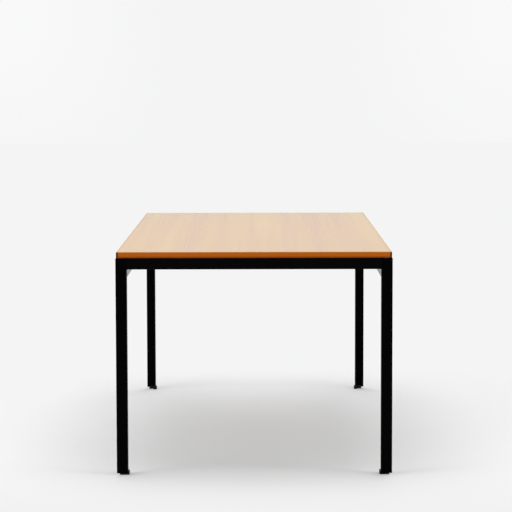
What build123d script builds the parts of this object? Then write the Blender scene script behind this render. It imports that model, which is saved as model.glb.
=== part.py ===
"""Long table: a veneered and lipped timber top on a welded frame of rolled steel angle.

X runs across the table, Y along it and Z up. The origin is on the floor under the middle
of the top. Every length is in millimetres.
"""
from build123d import *
import os

# Overall size of the steel frame, and the height of the timber surface.
FRAME_WIDTH = 880
FRAME_LENGTH = 1840
TABLE_HEIGHT = 715

# Timber top: a core panel, veneered on both faces, with a solid lipping on every edge.
# It is set back a little from the outer faces of the steel.
TOP_THICKNESS = 20
TOP_SETBACK = 2
LIPPING = 6
VENEER = 0.8
LEAF_COUNT = 4
TOP_CORNER_RADIUS = 1.5
TOP_ARRIS_RADIUS = 2
BOTTOM_ARRIS_RADIUS = 3

# Rolled angle used for the legs, the end rails and the cross rails.
ANGLE_SIZE = 35
ANGLE_THICKNESS = 4
ROOT_RADIUS = 4
TOE_RADIUS = 2
EDGE_RADIUS = 0.8

# Deeper angle along the two long sides.
SIDE_RAIL_DEPTH = 63

# Cross rails under the top: distance of their upright flanges from the middle.
CROSS_RAIL_Y = 300

# Foot shoe: a push-on glide, L-shaped in plan, that grips the web of the leg.
SHOE_HEIGHT = 11
SHOE_BASE = 5
SHOE_OUTER = 9
SHOE_INNER = 39.5
SHOE_WALL = 4
SHOE_SHORT_DEPTH = 22
SHOE_LONG_DEPTH = 38
SHOE_CORNER_RADIUS = 1.5
SHOE_CHAMFER = 0.8

# Top fixings: pan-head wood screws and washers, in slots that let the timber move.
SLOT_LENGTH = 14
SLOT_WIDTH = 6
SIDE_SCREW_INSET = 15.5
END_SCREW_INSET = 20.5
SIDE_SCREW_Y = (-800, -400, 0, 400, 800)
WASHER_DIAMETER = 13
WASHER_HOLE = 5.3
WASHER_THICKNESS = 1.2
HEAD_DIAMETER = 9.5
HEAD_HEIGHT = 3.2
HEAD_ROUND = 1.8
SHANK_DIAMETER = 4
SHANK_LENGTH = 14
POINT_DIAMETER = 1
POINT_LENGTH = 3
SOCKET_RADIUS = 1.8
SOCKET_DEPTH = 1.7

# Levels and faces that follow from the sizes above.
TOP_UNDERSIDE = TABLE_HEIGHT - TOP_THICKNESS
TOP_WIDTH = FRAME_WIDTH - 2 * TOP_SETBACK
TOP_LENGTH = FRAME_LENGTH - 2 * TOP_SETBACK
CORE_WIDTH = TOP_WIDTH - 2 * LIPPING
CORE_LENGTH = TOP_LENGTH - 2 * LIPPING
CORE_THICKNESS = TOP_THICKNESS - 2 * VENEER
LEAF_WIDTH = CORE_WIDTH / LEAF_COUNT
SIDE_FACE = FRAME_WIDTH / 2
END_FACE = FRAME_LENGTH / 2
WEB_FACE = SIDE_FACE - ANGLE_SIZE
WEB_END = END_FACE - ANGLE_SIZE
WASHER_SEAT = TOP_UNDERSIDE - ANGLE_THICKNESS
HEAD_SEAT = WASHER_SEAT - WASHER_THICKNESS

# Where the screws stand: along each long side, and four across in the other rails.
LEAF_X = [(i - (LEAF_COUNT - 1) / 2) * LEAF_WIDTH for i in range(LEAF_COUNT)]
CROSS_SCREW_X = (-330, -110, 110, 330)
SIDE_SCREW_X = SIDE_FACE - SIDE_SCREW_INSET
END_SCREW_Y = END_FACE - END_SCREW_INSET
CROSS_SCREW_Y = CROSS_RAIL_Y - END_SCREW_INSET
SCREWS = [(side * SIDE_SCREW_X, y) for side in (-1, 1) for y in SIDE_SCREW_Y]
SCREWS += [(x, end * END_SCREW_Y) for end in (-1, 1) for x in CROSS_SCREW_X]
SCREWS += [(x, end * CROSS_SCREW_Y) for end in (-1, 1) for x in CROSS_SCREW_X]

UPWARD = (Align.CENTER, Align.CENTER, Align.MIN)


def angle_section(plane, corner, first, second):
    """Section of a rolled angle on `plane`.

    `corner` is its outer corner. `first` and `second` are the signed lengths of the two
    flanges, along the first and the second axis of the plane.
    """
    u, v = corner
    t = ANGLE_THICKNESS
    du = t if first > 0 else -t
    dv = t if second > 0 else -t
    root = (u + du, v + dv)
    toes = [(u + first, v + dv), (u + du, v + second)]
    ends = [(u + first, v), (u, v + second)]
    with BuildSketch(plane) as section:
        Polygon(corner, ends[0], toes[0], root, toes[1], ends[1], align=None)
        fillet(section.vertices().sort_by_distance(root)[0], ROOT_RADIUS)
        for toe in toes:
            fillet(section.vertices().sort_by_distance(toe)[0], TOE_RADIUS)
        for edge_end in ends:
            fillet(section.vertices().sort_by_distance(edge_end)[0], EDGE_RADIUS)
    return section.sketch


def leg_section(side, end, level):
    """Plan of one leg: one flange in the end plane, the web set in from the long side."""
    corner = (side * WEB_FACE, end * END_FACE)
    return angle_section(Plane.XY.offset(level), corner, side * ANGLE_SIZE, -end * ANGLE_SIZE)


def cut_slots(places):
    """Cut the fixing slots through the horizontal flange of the rail being built."""
    with BuildSketch(Plane.XY.offset(WASHER_SEAT)) as slot_plan:
        with Locations(*places):
            SlotOverall(SLOT_LENGTH, SLOT_WIDTH)
    extrude(to_extrude=slot_plan.sketch, amount=ANGLE_THICKNESS, mode=Mode.SUBTRACT)


# A wood screw, head seat at the origin and point upward.
with BuildPart() as screw:
    Cylinder(SHANK_DIAMETER / 2, SHANK_LENGTH, align=UPWARD)
    with Locations((0, 0, SHANK_LENGTH)):
        Cone(SHANK_DIAMETER / 2, POINT_DIAMETER / 2, POINT_LENGTH, align=UPWARD)
pilot_shape = screw.part
with BuildPart() as screw_with_head:
    add(pilot_shape)
    with Locations((0, 0, -HEAD_HEIGHT)):
        Cylinder(HEAD_DIAMETER / 2, HEAD_HEIGHT, align=UPWARD)
    fillet(screw_with_head.faces().sort_by(Axis.Z)[0].edges(), HEAD_ROUND)
    with BuildSketch(Plane.XY.offset(-HEAD_HEIGHT)):
        RegularPolygon(SOCKET_RADIUS, 6)
    extrude(amount=SOCKET_DEPTH, mode=Mode.SUBTRACT)


def build_lipping(centre_x, centre_y, width, length):
    """One lipping: its share of the whole top, whose arrises and corners are rounded."""
    with BuildPart() as lipping:
        with Locations((0, 0, TOP_UNDERSIDE)):
            Box(TOP_WIDTH, TOP_LENGTH, TOP_THICKNESS, align=UPWARD)
        fillet(lipping.edges().filter_by(Axis.Z), TOP_CORNER_RADIUS)
        fillet(lipping.faces().sort_by(Axis.Z)[0].edges(), BOTTOM_ARRIS_RADIUS)
        fillet(lipping.faces().sort_by(Axis.Z)[-1].edges(), TOP_ARRIS_RADIUS)
        with Locations((centre_x, centre_y, TOP_UNDERSIDE)):
            Box(width, length, TOP_THICKNESS, align=UPWARD, mode=Mode.INTERSECT)
    return lipping


def build_sheet(centre_x, width, bottom, thickness):
    """A flat sheet as long as the core, with the pilot holes that reach it."""
    with BuildPart() as sheet:
        with Locations((centre_x, 0, bottom)):
            Box(width, CORE_LENGTH, thickness, align=UPWARD)
        if bottom < HEAD_SEAT + SHANK_LENGTH + POINT_LENGTH:
            with Locations(*[(x, y, HEAD_SEAT) for x, y in SCREWS]):
                add(pilot_shape, mode=Mode.SUBTRACT)
    return sheet


def build_leg(side, end):
    """One leg of rolled angle, from the base of its shoe up to the timber."""
    with BuildPart() as leg:
        extrude(to_extrude=leg_section(side, end, SHOE_BASE), amount=TOP_UNDERSIDE - SHOE_BASE)
    return leg


def build_shoe(side, end):
    """One foot shoe: an L-shaped pad under the leg, with walls that grip its web."""
    web_x = (SHOE_INNER + ANGLE_SIZE - ANGLE_THICKNESS - SHOE_WALL) / 2
    web_width = SHOE_INNER - (ANGLE_SIZE - ANGLE_THICKNESS - SHOE_WALL)
    long_depth = SHOE_LONG_DEPTH - ANGLE_THICKNESS
    short_depth = SHOE_SHORT_DEPTH - ANGLE_THICKNESS
    pad_x = (SHOE_OUTER + SHOE_INNER) / 2
    back_of_flange = END_FACE - ANGLE_THICKNESS
    web_centre = (side * (SIDE_FACE - web_x), end * (back_of_flange - long_depth / 2))
    pad_centre = (side * (SIDE_FACE - pad_x), end * (back_of_flange - short_depth / 2))
    with BuildPart() as shoe:
        with BuildSketch() as plan:
            with Locations(web_centre):
                Rectangle(web_width, long_depth)
            with Locations(pad_centre):
                Rectangle(SHOE_INNER - SHOE_OUTER, short_depth)
            fillet(plan.vertices(), SHOE_CORNER_RADIUS)
        extrude(amount=SHOE_HEIGHT)
        chamfer(shoe.faces().filter_by(Axis.Z).edges(), SHOE_CHAMFER)
        extrude(to_extrude=leg_section(side, end, SHOE_BASE), amount=SHOE_HEIGHT, mode=Mode.SUBTRACT)
    return shoe


def build_cross_angle(outer_y, toward):
    """Angle across the table: upright flange at `outer_y`, top flange toward the middle."""
    corner = (outer_y, TOP_UNDERSIDE)
    section = angle_section(Plane.YZ.offset(-WEB_FACE), corner, toward * ANGLE_SIZE, -ANGLE_SIZE)
    with BuildPart() as rail:
        extrude(to_extrude=section, amount=2 * WEB_FACE)
        cut_slots([(x, outer_y + toward * END_SCREW_INSET) for x in CROSS_SCREW_X])
    return rail


def build_side_rail(side):
    """Deep angle along one long side: web in line with the legs, top flange outward."""
    corner = (side * WEB_FACE, TOP_UNDERSIDE)
    section = angle_section(Plane.XZ.offset(-WEB_END), corner, side * ANGLE_SIZE, -SIDE_RAIL_DEPTH)
    with BuildPart() as rail:
        extrude(to_extrude=section, amount=2 * WEB_END)
        cut_slots([(side * SIDE_SCREW_X, y) for y in SIDE_SCREW_Y])
    return rail


SIDES = {"left": -1, "right": 1}
ENDS = {"front": -1, "rear": 1}

nodes = {}

# Timber top, from the backing up. The leaves are numbered from left to right.
nodes["backing_veneer"] = build_sheet(0, CORE_WIDTH, TOP_UNDERSIDE, VENEER)
nodes["top_core"] = build_sheet(0, CORE_WIDTH, TOP_UNDERSIDE + VENEER, CORE_THICKNESS)
for number, leaf_x in enumerate(LEAF_X, start=1):
    nodes[f"veneer_leaf_{number}"] = build_sheet(leaf_x, LEAF_WIDTH, TABLE_HEIGHT - VENEER, VENEER)
for side_name, side_sign in SIDES.items():
    lipping_x = side_sign * (TOP_WIDTH - LIPPING) / 2
    nodes[f"lipping_{side_name}"] = build_lipping(lipping_x, 0, LIPPING, TOP_LENGTH)
for end_name, end_sign in ENDS.items():
    lipping_y = end_sign * (TOP_LENGTH - LIPPING) / 2
    nodes[f"lipping_{end_name}"] = build_lipping(0, lipping_y, CORE_WIDTH, LIPPING)

# Welded frame: four legs, the rails round the edge and two cross rails.
for end_name, end_sign in ENDS.items():
    nodes[f"end_rail_{end_name}"] = build_cross_angle(end_sign * END_FACE, -end_sign)
    nodes[f"cross_rail_{end_name}"] = build_cross_angle(end_sign * CROSS_RAIL_Y, -end_sign)
    for side_name, side_sign in SIDES.items():
        nodes[f"leg_{end_name}_{side_name}"] = build_leg(side_sign, end_sign)
        nodes[f"foot_shoe_{end_name}_{side_name}"] = build_shoe(side_sign, end_sign)
for side_name, side_sign in SIDES.items():
    nodes[f"side_rail_{side_name}"] = build_side_rail(side_sign)

# Fixings that hold the top down on the frame.
with BuildPart() as top_washers:
    with BuildSketch(Plane.XY.offset(HEAD_SEAT)):
        with Locations(*SCREWS):
            Circle(WASHER_DIAMETER / 2)
            Circle(WASHER_HOLE / 2, mode=Mode.SUBTRACT)
    extrude(amount=WASHER_THICKNESS)
nodes["top_washers"] = top_washers

with BuildPart() as top_screws:
    with Locations(*[(x, y, HEAD_SEAT) for x, y in SCREWS]):
        add(screw_with_head.part)
nodes["top_screws"] = top_screws

os.makedirs("parts", exist_ok=True)
for name, node in nodes.items():
    node.part.label = name
    export_step(node.part, f"parts/{name}.step")
    box = node.part.bounding_box()
    size = " x ".join(f"{length:.1f}" for length in (box.size.X, box.size.Y, box.size.Z))
    print(f"{name}: {len(node.part.solids())} solid(s), {size} mm")
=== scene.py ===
# %% [markdown]
# # A long table with a timber top on a black steel frame
#
# The real table is a thin veneered top, lipped all round, that lies on a welded frame of
# rolled steel angle. The engineering model already holds every part of it at its true size,
# so this lesson doesn't model those parts again. It gives each of them its finish, adds the
# weld beads that hold the frame together, and sets the whole in a plain studio.
#
# All lengths are in metres, X runs across the table, Y along it and Z up.

# %% Load the table
import math

import bpy
from mathutils import Matrix, Vector


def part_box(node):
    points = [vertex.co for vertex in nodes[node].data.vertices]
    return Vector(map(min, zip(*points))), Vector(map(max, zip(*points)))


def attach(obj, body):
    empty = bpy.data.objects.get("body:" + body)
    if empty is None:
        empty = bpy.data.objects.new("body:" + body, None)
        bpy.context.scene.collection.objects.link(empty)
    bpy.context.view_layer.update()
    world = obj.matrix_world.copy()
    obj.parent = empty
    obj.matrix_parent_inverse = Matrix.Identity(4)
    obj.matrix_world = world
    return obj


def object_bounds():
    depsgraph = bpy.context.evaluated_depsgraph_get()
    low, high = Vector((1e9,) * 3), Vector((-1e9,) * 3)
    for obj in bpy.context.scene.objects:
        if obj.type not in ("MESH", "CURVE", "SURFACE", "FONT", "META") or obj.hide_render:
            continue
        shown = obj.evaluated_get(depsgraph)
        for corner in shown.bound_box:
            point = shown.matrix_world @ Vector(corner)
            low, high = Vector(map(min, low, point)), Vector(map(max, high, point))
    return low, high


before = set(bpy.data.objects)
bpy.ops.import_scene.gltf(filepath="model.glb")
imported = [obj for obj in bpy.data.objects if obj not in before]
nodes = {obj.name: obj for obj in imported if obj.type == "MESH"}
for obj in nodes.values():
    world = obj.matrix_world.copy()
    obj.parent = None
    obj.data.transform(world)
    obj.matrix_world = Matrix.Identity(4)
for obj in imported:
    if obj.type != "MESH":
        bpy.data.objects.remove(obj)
cad_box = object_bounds()
table_low, table_high = cad_box
print("parts:", len(nodes), "box:", [round(v, 4) for v in (*table_low, *table_high)])

# %% [markdown]
# ## Where the main parts are
#
# The patterns of the timber depend on where the veneer leaves meet, and the stage depends on
# the middle of the table. Both are asked of the model, so that nothing has to be typed twice.

# %% Measure the parts that the finishes depend on
LEAVES = [f"veneer_leaf_{number}" for number in (1, 2, 3, 4)]
leaf_low, leaf_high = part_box(LEAVES[0])
LEAF_WIDTH = leaf_high.x - leaf_low.x
TOP_LEVEL = leaf_high.z
TOP_THICKNESS = TOP_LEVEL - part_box("backing_veneer")[0].z
FLOOR_LEVEL = table_low[2]
print("leaf width:", round(LEAF_WIDTH, 4), "top level:", round(TOP_LEVEL, 4))

# %% [markdown]
# ## A short way to write shader nodes
#
# A material is a tree of small nodes, and most of them only add, multiply or compare. Wired
# by hand, even a simple formula hides what it says. Here a wire that leaves a node is wrapped
# in a class that understands +, -, * and /, so a formula is written as a formula, and each
# operator adds its own Math node. Every other kind of node comes from one method, which takes
# the node's type, its settings, and what goes into its sockets.

# %% Define wires and finishes
class Wire:
    """What leaves one socket of a shader node."""

    def __init__(self, finish, socket):
        self.finish = finish
        self.socket = socket

    def math(self, operation, first, second):
        return self.finish.node("ShaderNodeMath", {"operation": operation}, {0: first, 1: second})

    def __add__(self, other):
        return self.math("ADD", self, other)

    def __radd__(self, other):
        return self.math("ADD", other, self)

    def __sub__(self, other):
        return self.math("SUBTRACT", self, other)

    def __rsub__(self, other):
        return self.math("SUBTRACT", other, self)

    def __mul__(self, other):
        return self.math("MULTIPLY", self, other)

    def __rmul__(self, other):
        return self.math("MULTIPLY", other, self)

    def __truediv__(self, other):
        return self.math("DIVIDE", self, other)


class Finish:
    """The node tree of a material or of the world, empty apart from its output."""

    def __init__(self, owner, output_kind):
        owner.use_nodes = True
        self.owner = owner
        self.nodes = owner.node_tree.nodes
        self.links = owner.node_tree.links
        self.nodes.clear()
        self.output = self.nodes.new(output_kind)

    def node(self, kind, settings, sockets, out=0):
        """Adds a node, makes its settings, then sets or links its sockets."""
        made = self.nodes.new(kind)
        for name, value in settings.items():
            if name == "stops":
                self.set_stops(made.color_ramp, value)
            else:
                setattr(made, name, value)
        for name, value in sockets.items():
            if isinstance(value, Wire):
                self.links.new(value.socket, made.inputs[name])
            else:
                made.inputs[name].default_value = value
        return Wire(self, made.outputs[out])

    def set_stops(self, ramp, stops):
        """Gives a colour ramp its stops, each a position and a grey level or a colour."""
        while len(ramp.elements) < len(stops):
            ramp.elements.new(1.0)
        for element, (position, value) in zip(ramp.elements, stops):
            element.position = position
            element.color = (*value, 1) if isinstance(value, tuple) else (value, value, value, 1)

    def coordinates(self):
        """The three object coordinates, each on its own wire."""
        place = self.node("ShaderNodeTexCoord", {}, {}, out="Object")
        parts = self.node("ShaderNodeSeparateXYZ", {}, {0: place})
        return [Wire(self, parts.socket.node.outputs[axis]) for axis in ("X", "Y", "Z")]

    def vector(self, x, y, z):
        return self.node("ShaderNodeCombineXYZ", {}, {"X": x, "Y": y, "Z": z})

    def noise(self, vector, detail=2.0, roughness=0.5):
        sockets = {"Vector": vector, "Scale": 1.0, "Detail": detail, "Roughness": roughness}
        return self.node("ShaderNodeTexNoise", {"noise_dimensions": "3D"}, sockets, out="Fac")

    def ramp(self, value, stops):
        return self.node("ShaderNodeValToRGB", {"stops": stops}, {"Fac": value})

    def mix(self, factor, first, second, blend="MIX"):
        """Mixes two colours."""
        settings = {"data_type": "RGBA", "blend_type": blend}
        sockets = {0: factor, 6: self.colour(first), 7: self.colour(second)}
        return self.node("ShaderNodeMix", settings, sockets, out=2)

    def colour(self, value):
        return (*value, 1.0) if isinstance(value, tuple) else value

    def surface(self, shader):
        self.links.new(shader.socket, self.output.inputs["Surface"])
        print("finish:", self.owner.name, "nodes:", len(self.nodes))
        return self.owner


def new_finish(name):
    return Finish(bpy.data.materials.new(name), "ShaderNodeOutputMaterial")


def dress(material, names):
    """Puts a material on every slot of the named CAD nodes."""
    for name in names:
        slots = nodes[name].material_slots
        for slot in slots:
            slot.material = material
    print("dressed:", material.name, "on", len(names))

# %% [markdown]
# ## The timber
#
# The top is faced with four leaves of straight-grained reddish softwood, laid side by side as
# they came off the same log, each turned over like the page of a book. So the figure is
# mirrored at every joint. A flat picture of wood would have to be fitted to each leaf and
# would repeat. Here the figure is a formula in the table's own coordinates: the distance from
# the nearest joint is folded back and forth, and stretched noise along the table draws wide
# soft bands of straw and rose, growth lines that waver a little on their way, and the very
# short fine dashes of the pores. The same figure takes other tones on the solid edges, which
# drink more lacquer and are deep orange, partly darkened by painted shade, and on the raw
# sheet that balances the underside.

# %% Draw the grain of the timber
VENEER_TONES = ((0.512, 0.294, 0.034), (0.445, 0.208, 0.048), (0.35, 0.155, 0.024))
EDGE_TONES = ((0.64, 0.155, 0.006), (0.59, 0.130, 0.005), (0.46, 0.090, 0.004))
# The long edges use a darker copy of the edge tones: painted shade that offsets the stronger
# light on the table's sides.
LONG_EDGE_TONES_WITH_PAINTED_SHADE = ((0.48, 0.150, 0.014), (0.43, 0.125, 0.012), (0.34, 0.090, 0.008))
BACKING_TONES = ((0.21, 0.180, 0.150), (0.18, 0.150, 0.122), (0.12, 0.100, 0.080))
END_TONES = ((0.12, 0.016, 0.002), (0.10, 0.013, 0.002), (0.07, 0.009, 0.001))


def grain(finish, across, along, layer):
    """The figure of straight-grained timber: masks of its wide bands, growth lines and pores."""
    drift = finish.noise(finish.vector(across * 3.0, along * 1.1, layer), detail=1.0)
    across = across + (drift - 0.5) * 0.014
    bands = finish.noise(finish.vector(across * 13.0, along * 0.30, layer), detail=2.0)
    bands = finish.ramp(bands, [(0.38, 0.0), (0.62, 1.0)])
    fine = finish.vector(across * 300.0, along * 0.7, layer)
    fine = finish.noise(fine, detail=3.0, roughness=0.6)
    lines = finish.ramp(fine, [(0.38, 0.0), (0.70, 1.0)])
    pores = finish.noise(finish.vector(across * 2400.0, along * 50.0, layer), detail=1.0)
    pores = finish.ramp(pores, [(0.60, 0.0), (0.72, 1.0)])
    return bands, lines, pores


def tinted(finish, figure, tones):
    """Colours the figure with three tones: the straw wood, the rosy wood and the dark lines."""
    bands, lines, pores = figure
    straw, rosy, dark = tones
    body = finish.mix(bands * 0.7, straw, rosy)
    return finish.mix(lines * 0.14 + pores * 0.05, body, dark)


def lacquered(finish, colour, lines, roughness, sheen_level):
    """Timber under a thin satin lacquer, which follows its growth lines a little."""
    bump = finish.node(
        "ShaderNodeBump", {}, {"Strength": 0.08, "Distance": 0.00008, "Height": lines})
    return finish.node("ShaderNodeBsdfPrincipled", {}, {
        "Base Color": colour,
        "Roughness": lines * 0.03 + roughness,
        "Specular IOR Level": sheen_level,
        "Normal": bump,
    })


# %% [markdown]
# ## The veneer and the backing sheet
#
# Both faces of the panel are covered, so that it stays flat. The upper one is the veneer. Its
# folded coordinate mirrors the figure at each joint, and the tone turns rosier towards the
# joints at the quarters. The lower one is a dull, raw balancing sheet with no lacquer on it.

# %% Finish the two faces of the panel
TOP_ROUGHNESS = 0.24
TOP_SHEEN = 0.45
RAW_ROUGHNESS = 0.55


def make_veneer():
    finish = new_finish("bookmatched_veneer")
    x, y, z = finish.coordinates()
    folded = x.math("PINGPONG", x, LEAF_WIDTH)
    leaf = x.math("FLOOR", x / LEAF_WIDTH, 0.0)
    figure = grain(finish, folded, y, leaf * 0.21)
    colour = tinted(finish, figure, VENEER_TONES)
    near_joint = finish.ramp(folded / LEAF_WIDTH, [(0.60, 0.0), (0.95, 1.0)])
    colour = finish.mix(near_joint * 0.85, colour, VENEER_TONES[1])
    return finish.surface(lacquered(finish, colour, figure[1], TOP_ROUGHNESS, TOP_SHEEN))


def make_backing():
    finish = new_finish("backing_sheet")
    x, y, z = finish.coordinates()
    colour = tinted(finish, grain(finish, x, y, 9.4), BACKING_TONES)
    haze = finish.noise(finish.vector(x * 30.0, y * 30.0, 0.0), detail=3.0)
    return finish.surface(finish.node("ShaderNodeBsdfPrincipled", {}, {
        "Base Color": colour, "Roughness": haze * 0.2 + RAW_ROUGHNESS}))


dress(make_veneer(), LEAVES)
dress(make_backing(), ["backing_veneer"])

# %% [markdown]
# ## The lippings
#
# A strip of solid timber covers each edge of the panel. The two long ones run through to the
# ends of the table, so their end grain shows beside the short ones, and end grain drinks more
# lacquer and turns much darker. One formula serves for both directions: the axis that runs
# along the strip is handed to the grain as its length, and the normal of the surface tells
# where the strip was cut across and where it lies flat beside the veneer. The upright faces are
# deep orange, partly from the lacquer they drink and partly as painted shade, and the long
# strips take a darker copy of those tones, painted shade against the stronger light on the
# sides. The edges are left less polished than the top, and painted shade darkens them towards
# their lower corner.

# %% Finish the four lippings
EDGE_ROUGHNESS = 0.50
FLAT_ROUGHNESS = 0.26
EDGE_SHEEN = 0.10


def make_lipping(name, lengthwise, tones):
    finish = new_finish(name)
    x, y, z = finish.coordinates()
    along, thickness = (y, x) if lengthwise == "Y" else (x, y)
    figure = grain(finish, z + thickness * 0.6, along, 3.7)
    normal = finish.node("ShaderNodeNewGeometry", {}, {}, out="Normal")
    lie = finish.node("ShaderNodeSeparateXYZ", {}, {0: normal}, out=lengthwise)
    lift = finish.node("ShaderNodeSeparateXYZ", {}, {0: normal}, out="Z")
    end_grain = finish.ramp(lie.math("ABSOLUTE", lie, 0.0), [(0.55, 0.0), (0.80, 1.0)])
    # Upright faces take the deep edge tones and flat faces the veneer tones: partly the lacquer
    # the edges drink, partly painted shade for the weaker light on upright faces.
    flat = finish.ramp(lift, [(0.45, 0.0), (0.85, 1.0)])
    # Painted shade: towards the lower corner each upright face is mixed with the dark end-grain
    # tone.
    low = finish.ramp((TOP_LEVEL - z) / TOP_THICKNESS, [(0.55, 0.0), (0.80, 0.45)])
    edge = finish.mix(low, tinted(finish, figure, tones), END_TONES[0])
    cut = tinted(finish, figure, END_TONES)
    top = tinted(finish, figure, VENEER_TONES)
    colour = finish.mix(flat, finish.mix(end_grain, edge, cut), top)
    roughness = EDGE_ROUGHNESS - flat * (EDGE_ROUGHNESS - FLAT_ROUGHNESS)
    return finish.surface(lacquered(finish, colour, figure[1], roughness, EDGE_SHEEN))


# The long lippings carry the darker tones, painted shade for the stronger side light.
dress(make_lipping("lipping_along", "Y", LONG_EDGE_TONES_WITH_PAINTED_SHADE), ["lipping_left", "lipping_right"])
dress(make_lipping("lipping_across", "X", EDGE_TONES), ["lipping_front", "lipping_rear"])

# %% [markdown]
# ## The core
#
# Between the veneers lies a board glued up from strips of softwood. It is closed in on all
# sides and is never seen, but it belongs to the table, so it gets a plain raw finish: the
# floor of the coordinate across the strips gives each strip its number, and noise turns the
# number into its tone.

# %% Finish the core board
CORE_STRIP = 0.025
CORE_DARK = (0.45, 0.31, 0.16)
CORE_PALE = (0.58, 0.43, 0.25)
CORE_FIBRE = (0.36, 0.24, 0.12)


def make_core():
    finish = new_finish("core_strips")
    x, y, z = finish.coordinates()
    strip = x.math("FLOOR", x / CORE_STRIP, 0.0)
    tone = finish.noise(finish.vector(strip * 3.1, y * 0.7, 0.5), detail=0.0)
    fibre = finish.noise(finish.vector(x * 500.0, y * 4.0, z * 500.0), detail=2.0)
    tone = finish.ramp(tone, [(0.35, 0.0), (0.65, 1.0)])
    colour = finish.mix(tone, CORE_DARK, CORE_PALE)
    colour = finish.mix(fibre * 0.4, colour, CORE_FIBRE)
    return finish.surface(finish.node("ShaderNodeBsdfPrincipled", {}, {
        "Base Color": colour, "Roughness": fibre * 0.2 + 0.6}))


dress(make_core(), ["top_core"])

# %% [markdown]
# ## The black steel
#
# The frame is powder coated: a thin, even, very dark skin that is melted on, with a faint
# orange-peel surface and almost no colour of its own. What the eye sees of it is its sheen,
# which is weak face on and strong along a surface. So the base colour is nearly black and
# the roughness wanders a little, and a fine bump breaks the reflections. Close to the floor a
# few scuffs from shoes and brooms have rubbed it greyer.

# %% Finish the steel
RAIL_ROUGHNESS = 0.16
LEG_ROUGHNESS = 0.50


def make_black_steel(name, roughness, sheen_level):
    finish = new_finish(name)
    x, y, z = finish.coordinates()
    peel = finish.noise(finish.vector(x * 700.0, y * 700.0, z * 700.0), detail=2.0)
    cloud = finish.noise(finish.vector(x * 14.0, y * 14.0, z * 5.0), detail=3.0)
    scratch = finish.noise(finish.vector(x * 90.0, y * 90.0, z * 600.0), detail=2.0)
    low_down = finish.ramp(z / 0.12, [(0.0, 1.0), (1.0, 0.0)])
    scuffs = finish.ramp(scratch, [(0.60, 0.0), (0.74, 1.0)]) * low_down
    colour = finish.mix(cloud, (0.0005, 0.0005, 0.0006), (0.0010, 0.0010, 0.0012))
    colour = finish.mix(scuffs * 0.6, colour, (0.010, 0.010, 0.010))
    bump = finish.node(
        "ShaderNodeBump", {}, {"Strength": 0.3, "Distance": 0.00004, "Height": peel})
    return finish.surface(finish.node("ShaderNodeBsdfPrincipled", {}, {
        "Base Color": colour,
        "Roughness": cloud * 0.06 + roughness + scuffs * 0.2,
        "Specular IOR Level": sheen_level,
        "Normal": bump,
    }))


LEGS = sorted(name for name in nodes if name.startswith("leg_"))
RAILS = sorted(name for name in nodes if "_rail_" in name)
rail_coat = make_black_steel("black_powder_coat", RAIL_ROUGHNESS, 0.030)
dress(rail_coat, RAILS)
dress(make_black_steel("black_powder_coat_rubbed", LEG_ROUGHNESS, 0.025), LEGS)

# %% [markdown]
# ## The shoes
#
# A shoe of black plastic under each leg keeps the steel off the floor. Moulded plastic has a
# fine spark-eroded texture from its mould, which is drawn as very small noise in the bump, and
# a cloudy, half-matte gloss.

# %% Finish the foot shoes
def make_shoe_plastic():
    finish = new_finish("moulded_shoe")
    x, y, z = finish.coordinates()
    spark = finish.noise(finish.vector(x * 1500.0, y * 1500.0, z * 1500.0), detail=1.0)
    cloud = finish.noise(finish.vector(x * 60.0, y * 60.0, z * 60.0), detail=2.0)
    colour = finish.mix(cloud, (0.0040, 0.0040, 0.0042), (0.0085, 0.0085, 0.0088))
    bump = finish.node(
        "ShaderNodeBump", {}, {"Strength": 0.5, "Distance": 0.00008, "Height": spark})
    return finish.surface(finish.node("ShaderNodeBsdfPrincipled", {}, {
        "Base Color": colour,
        "Roughness": cloud * 0.12 + 0.48,
        "Specular IOR Level": 0.25,
        "Normal": bump,
    }))


SHOES = sorted(name for name in nodes if name.startswith("foot_shoe"))
dress(make_shoe_plastic(), SHOES)

# %% [markdown]
# ## The screws and washers
#
# The fixings under the top are bright zinc plated steel. A fine haze in the plating breaks
# the metal's colour and its gloss, so that a small head doesn't look like a mirror.

# %% Finish the screws and washers
def make_zinc():
    finish = new_finish("zinc_plate")
    x, y, z = finish.coordinates()
    haze = finish.noise(finish.vector(x * 260.0, y * 260.0, z * 260.0), detail=3.0)
    colour = finish.mix(haze, (0.46, 0.47, 0.50), (0.66, 0.66, 0.64))
    bump = finish.node(
        "ShaderNodeBump", {}, {"Strength": 0.2, "Distance": 0.00005, "Height": haze})
    return finish.surface(finish.node("ShaderNodeBsdfPrincipled", {}, {
        "Base Color": colour,
        "Metallic": 1.0,
        "Roughness": haze * 0.25 + 0.2,
        "Normal": bump,
    }))


dress(make_zinc(), ["top_screws", "top_washers"])

# %% [markdown]
# ## The weld beads
#
# The frame is welded before it is coated. The welds are ground flush where they would show
# and left as beads inside the corners: each end rail and cross rail has them where it meets
# the side, and each side rail where it runs on from a leg. A bead is a row of small overlapping
# ripples, because the pool of metal sets in steps. Here a disc is extruded step by step
# between a wider and a narrower ring into a rippled bar. Each bead is a copy of that bar,
# laid along its corner and cut off at the steel faces, so only the part that stands proud is
# left.

# %% Model one rippled bar
BEAD_RADIUS = 0.0026
BEAD_SIDES = 14
RIPPLE = 0.0022
SWELL = 1.18


def grow(height, factor):
    """Extrudes the end face of the bar upwards and widens or narrows it."""
    bpy.ops.mesh.extrude_region_move(TRANSFORM_OT_translate={"value": (0, 0, height)})
    bpy.ops.transform.resize(value=(factor, factor, 1), center_override=(0, 0, 0))


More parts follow.
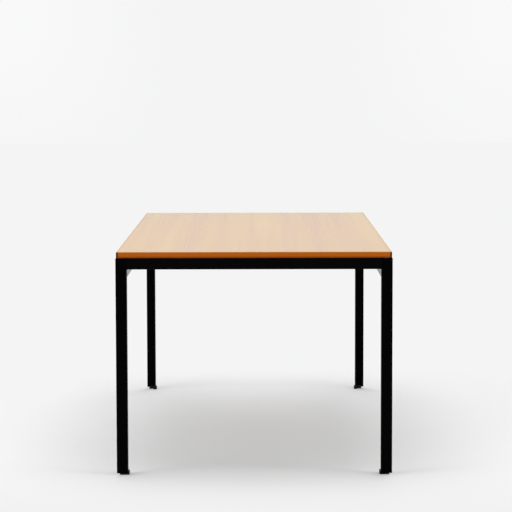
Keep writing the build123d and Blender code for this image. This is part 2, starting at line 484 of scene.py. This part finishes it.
def rippled_bar(name, length):
    bpy.ops.object.select_all(action="DESELECT")
    bpy.ops.mesh.primitive_circle_add(
        vertices=BEAD_SIDES, radius=BEAD_RADIUS * 0.5, fill_type="NGON", location=(0, 0, 0))
    bar = bpy.context.active_object
    bar.name = name
    bpy.ops.object.mode_set(mode="EDIT")
    bpy.ops.mesh.select_all(action="SELECT")
    ripples = int(length / RIPPLE) - 1
    grow(RIPPLE * 0.4, 1.7)
    for ripple in range(ripples):
        grow(RIPPLE * 0.35, SWELL)
        grow(RIPPLE * 0.65, 1 / SWELL)
    grow(RIPPLE * 0.6, 0.55)
    bpy.ops.object.mode_set(mode="OBJECT")
    print("bar:", name, "ripples:", ripples, "length:", round(bar.dimensions.z, 4))
    return bar


rail_low, rail_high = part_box("end_rail_front")
web_low, web_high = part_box("side_rail_right")
BEAD_GAP = 0.003
short_bar = rippled_bar("short_bar", rail_high.z - rail_low.z - 0.011)
long_bar = rippled_bar("long_bar", web_high.z - web_low.z - 0.010)

# %% [markdown]
# ## One bead
#
# A bead starts as a copy of the bar with a mesh of its own, put in its corner. Bisecting it
# with each steel face, and closing the cut, takes away the part that would lie in the steel.
# The cut is made a hair below the face, so that the bead bites into it.

# %% Cut a bead to its corner
BITE = 0.0002


def lay_bead(bar, name, place, faces):
    """Lays a copy of the bar at a place and keeps what is outside the steel faces.

    Each face is an axis, the place of the face on it, and the side that is open.
    """
    bead = bar.copy()
    bead.data = bar.data.copy()
    bead.name = name
    bpy.context.scene.collection.objects.link(bead)
    bpy.ops.object.select_all(action="DESELECT")
    bead.select_set(True)
    bpy.context.view_layer.objects.active = bead
    bead.location = place
    bpy.ops.object.transform_apply(location=True, rotation=True, scale=True)
    bpy.ops.object.mode_set(mode="EDIT")
    for axis, level, open_side in faces:
        point, normal = [0.0, 0.0, 0.0], [0.0, 0.0, 0.0]
        point[axis], normal[axis] = level - open_side * BITE, open_side
        bpy.ops.mesh.select_all(action="SELECT")
        bpy.ops.mesh.bisect(plane_co=point, plane_no=normal, use_fill=True, clear_inner=True)
    bpy.ops.mesh.select_all(action="SELECT")
    bpy.ops.mesh.normals_make_consistent(inside=False)
    bpy.ops.object.mode_set(mode="OBJECT")
    bpy.ops.object.shade_smooth_by_angle(angle=math.radians(50))
    bead.data.materials.append(rail_coat)
    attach(bead, "root")
    return bead


# %% [markdown]
# ## All the beads
#
# The places follow from the members: the inner faces of the webs and of the flanges, and the
# seams where a side rail meets a leg. The thickness of the steel is the distance from the top
# of the frame down to the washers, which lie against its flange.

# %% Lay the beads
SIDES = {"left": -1, "right": 1}
ENDS = {"front": -1, "rear": 1}
STEEL = web_high.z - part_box("top_washers")[1].z
INNER_FACE = web_low.x
OUTER_FACE = web_low.x + STEEL
SEAM_SINK = 0.0014
beads = []
for side_name, side in SIDES.items():
    for end_name, end in ENDS.items():
        flange = end * (abs(rail_low.y) - STEEL)
        beads.append(lay_bead(
            short_bar, f"weld_end_rail_{end_name}_{side_name}",
            (side * INNER_FACE, flange, rail_low.z + BEAD_GAP),
            [(0, side * INNER_FACE, -side), (1, flange, -end)]))
        cross_low, cross_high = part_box(f"cross_rail_{end_name}")
        outer = cross_high.y if end > 0 else cross_low.y
        for face_name, level, open_side in (
                ("outer", outer, end), ("inner", outer - end * STEEL, -end)):
            beads.append(lay_bead(
                short_bar, f"weld_cross_rail_{end_name}_{side_name}_{face_name}",
                (side * INNER_FACE, level, rail_low.z + BEAD_GAP),
                [(0, side * INNER_FACE, -side), (1, level, open_side)]))
        seam = web_high.y if end > 0 else web_low.y
        beads.append(lay_bead(
            long_bar, f"weld_side_rail_{side_name}_{end_name}",
            (side * (OUTER_FACE - SEAM_SINK), seam, web_low.z + BEAD_GAP),
            [(0, side * OUTER_FACE, side)]))
for bar in (short_bar, long_bar):
    bpy.data.objects.remove(bar)
print("beads:", len(beads), "steel thickness:", round(STEEL, 4))

# %% [markdown]
# ## The studio
#
# The table stands in a white studio with a floor that sweeps up into the wall, so no line
# shows where one ends. A modelled sweep would stand in the way of a camera behind the table.
# Here the floor is a wide disc that turns, with distance, from white paper into the same light
# as the background, and the background is the world itself. The light of the disc is a
# little lower near the camera than far off, as on a real paper sweep.

# %% Lay the floor
FLOOR_RADIUS = 30.0
BACKGROUND = 0.905
NEAR_GLOW = 0.880
PAPER = 0.83
SWEEP_START = 0.75
SWEEP_END = 1.80


def grey(level, blue=1.0):
    return (level, level, level * blue)


def make_paper():
    finish = new_finish("studio_paper")
    x, y, z = finish.coordinates()
    radius = x.math("SQRT", x * x + y * y, 0.0)
    sweep = finish.node("ShaderNodeMapRange", {"interpolation_type": "SMOOTHSTEP"}, {
        "Value": radius, "From Min": SWEEP_START, "From Max": SWEEP_END})
    fibre = finish.noise(finish.vector(x * 120.0, y * 120.0, 0.0), detail=2.0)
    colour = finish.mix(fibre, grey(PAPER, 1.002), grey(PAPER * 1.02, 1.002))
    paper = finish.node("ShaderNodeBsdfDiffuse", {}, {"Color": colour})
    near, far = [finish.node("ShaderNodeEmission", {}, {
        "Color": finish.colour(grey(level, 1.004)), "Strength": 1.0})
        for level in (NEAR_GLOW, BACKGROUND)]
    depth = finish.ramp(y / 4.0 + 0.5, [(0.35, 0.0), (0.75, 1.0)])
    far_off = finish.node("ShaderNodeMapRange", {"interpolation_type": "SMOOTHSTEP"}, {
        "Value": radius, "From Min": 3.0, "From Max": 12.0})
    depth = depth.math("MAXIMUM", depth, far_off)
    glow = finish.node("ShaderNodeMixShader", {}, {0: depth, 1: near, 2: far})
    return finish.surface(finish.node("ShaderNodeMixShader", {}, {0: sweep, 1: paper, 2: glow}))


bpy.ops.object.select_all(action="DESELECT")
bpy.ops.mesh.primitive_circle_add(
    vertices=96, radius=FLOOR_RADIUS, fill_type="NGON", location=(0, 0, FLOOR_LEVEL))
floor = bpy.context.active_object
floor.name = "studio_floor"
bpy.ops.object.transform_apply(location=True, rotation=True, scale=True)
floor.data.materials.append(make_paper())

# %% [markdown]
# ## The wall of light
#
# The world stands for the walls. The camera sees it as one pale grey, a little brighter high
# up and to both sides. The table is lit by, and mirrors, a wall that is bright behind it and
# falls off towards the front, with some light from the ceiling. That bright wall is what
# turns the lacquered top pale when it is looked along, while the front of the steel stays
# black. Each part is a smooth step in the direction of looking.

# %% Light the background
world = bpy.data.worlds.new("studio")
bpy.context.scene.world = world
sky = Finish(world, "ShaderNodeOutputWorld")
direction = sky.node("ShaderNodeTexCoord", {}, {}, out="Generated")
facing = sky.node("ShaderNodeSeparateXYZ", {}, {0: direction}, out="Y")
height = sky.node("ShaderNodeSeparateXYZ", {}, {0: direction}, out="Z")
wall = sky.node("ShaderNodeMapRange", {"interpolation_type": "SMOOTHSTEP"}, {
    "Value": facing, "From Min": 0.05, "From Max": 0.5, "To Min": 0.08, "To Max": 1.2})
ceiling = sky.node("ShaderNodeMapRange", {"interpolation_type": "SMOOTHSTEP"}, {
    "Value": height, "From Min": 0.6, "From Max": 0.95, "To Min": 0.0, "To Max": 0.5})
seen = sky.node("ShaderNodeLightPath", {}, {}, out="Is Camera Ray")
sideways = sky.node("ShaderNodeSeparateXYZ", {}, {0: direction}, out="X")
off_middle = sky.node("ShaderNodeMapRange", {"interpolation_type": "SMOOTHSTEP"}, {
    "Value": sideways.math("ABSOLUTE", sideways, 0.0), "From Min": 0.03, "From Max": 0.12})
high_up = sky.node("ShaderNodeMapRange", {"interpolation_type": "SMOOTHSTEP"}, {
    "Value": height, "From Min": -0.07, "From Max": 0.02, "To Min": 0.0, "To Max": 0.045})
ahead = sky.node("ShaderNodeMapRange", {"interpolation_type": "SMOOTHSTEP"}, {
    "Value": facing, "From Min": 0.85, "From Max": 0.97})
level = (wall + ceiling) * (1.0 - seen) + (off_middle * high_up * ahead + 1.0) * seen
backdrop = sky.node("ShaderNodeBackground", {}, {
    "Color": sky.colour(grey(BACKGROUND, 1.004)), "Strength": level})
sky.surface(backdrop)

# %% [markdown]
# ## The lights
#
# Large soft boxes light the table from overhead, from high on both sides and towards the
# front, and from the bright wall behind. Their shadows are wide and soft, and together they
# leave one pale grey pool under the top. The boxes are hidden from the camera, and the rear
# and front ones from reflections too, so that the timber mirrors only the even wall.

# %% Hang the soft boxes
TABLE_HEART = Vector((0.0, 0.0, 0.3))


def soft_box(name, place, size, watts, mirrored=True):
    data = bpy.data.lights.new(name, "AREA")
    data.shape = "RECTANGLE"
    data.size, data.size_y = size
    data.energy = watts
    lamp = bpy.data.objects.new(name, data)
    bpy.context.scene.collection.objects.link(lamp)
    turn = (Vector(place) - TABLE_HEART).to_track_quat("Z", "Y").to_matrix().to_4x4()
    lamp.matrix_world = Matrix.Translation(place) @ turn
    lamp.visible_camera = False
    lamp.visible_glossy = mirrored
    print("soft box:", name, "watts:", watts)


soft_box("overhead_box", (0.0, -0.6, 3.4), (2.0, 2.0), 25.0)
soft_box("rear_box", (0.0, 4.0, 2.5), (4.0, 2.4), 47.0, mirrored=False)
soft_box("left_front_box", (-3.0, -2.3, 2.3), (1.6, 1.8), 34.0, mirrored=False)
soft_box("right_front_box", (2.6, -1.9, 1.9), (0.9, 0.9), 18.5, mirrored=False)
soft_box("left_side_box", (-3.2, -0.5, 2.6), (2.0, 2.0), 29.0)
soft_box("right_side_box", (3.2, -0.5, 2.6), (2.0, 2.0), 24.5)

# %% [markdown]
# ## The camera
#
# A long lens stands a good way off the short end, a little above the top, and looks slightly
# down, so the top is seen as a narrow trapezium and the legs stay almost parallel. It is
# built as a chain of turns: level along the table, then tipped down, then rolled a little.

# %% Place the camera
CAMERA_PLACE = (0.01604, -7.52216, 1.28937)
TURN_LEFT = 0.00146
TIP_DOWN = 0.08866
ROLL = 0.00217
SENSOR_WIDTH = 36.0
LENS = 147.05

camera_data = bpy.data.cameras.new("studio_camera")
camera_data.sensor_width = SENSOR_WIDTH
camera_data.lens = LENS
camera_data.clip_end = 200.0
camera = bpy.data.objects.new("studio_camera", camera_data)
bpy.context.scene.collection.objects.link(camera)
camera.matrix_world = (
    Matrix.Translation(CAMERA_PLACE)
    @ Matrix.Rotation(TURN_LEFT, 4, "Z")
    @ Matrix.Rotation(math.pi / 2 - TIP_DOWN, 4, "X")
    @ Matrix.Rotation(-ROLL, 4, "Z")
)
bpy.context.scene.camera = camera
bpy.context.scene.view_settings.view_transform = "Standard"
print("camera:", [round(v, 3) for v in camera.location], "lens:", LENS)
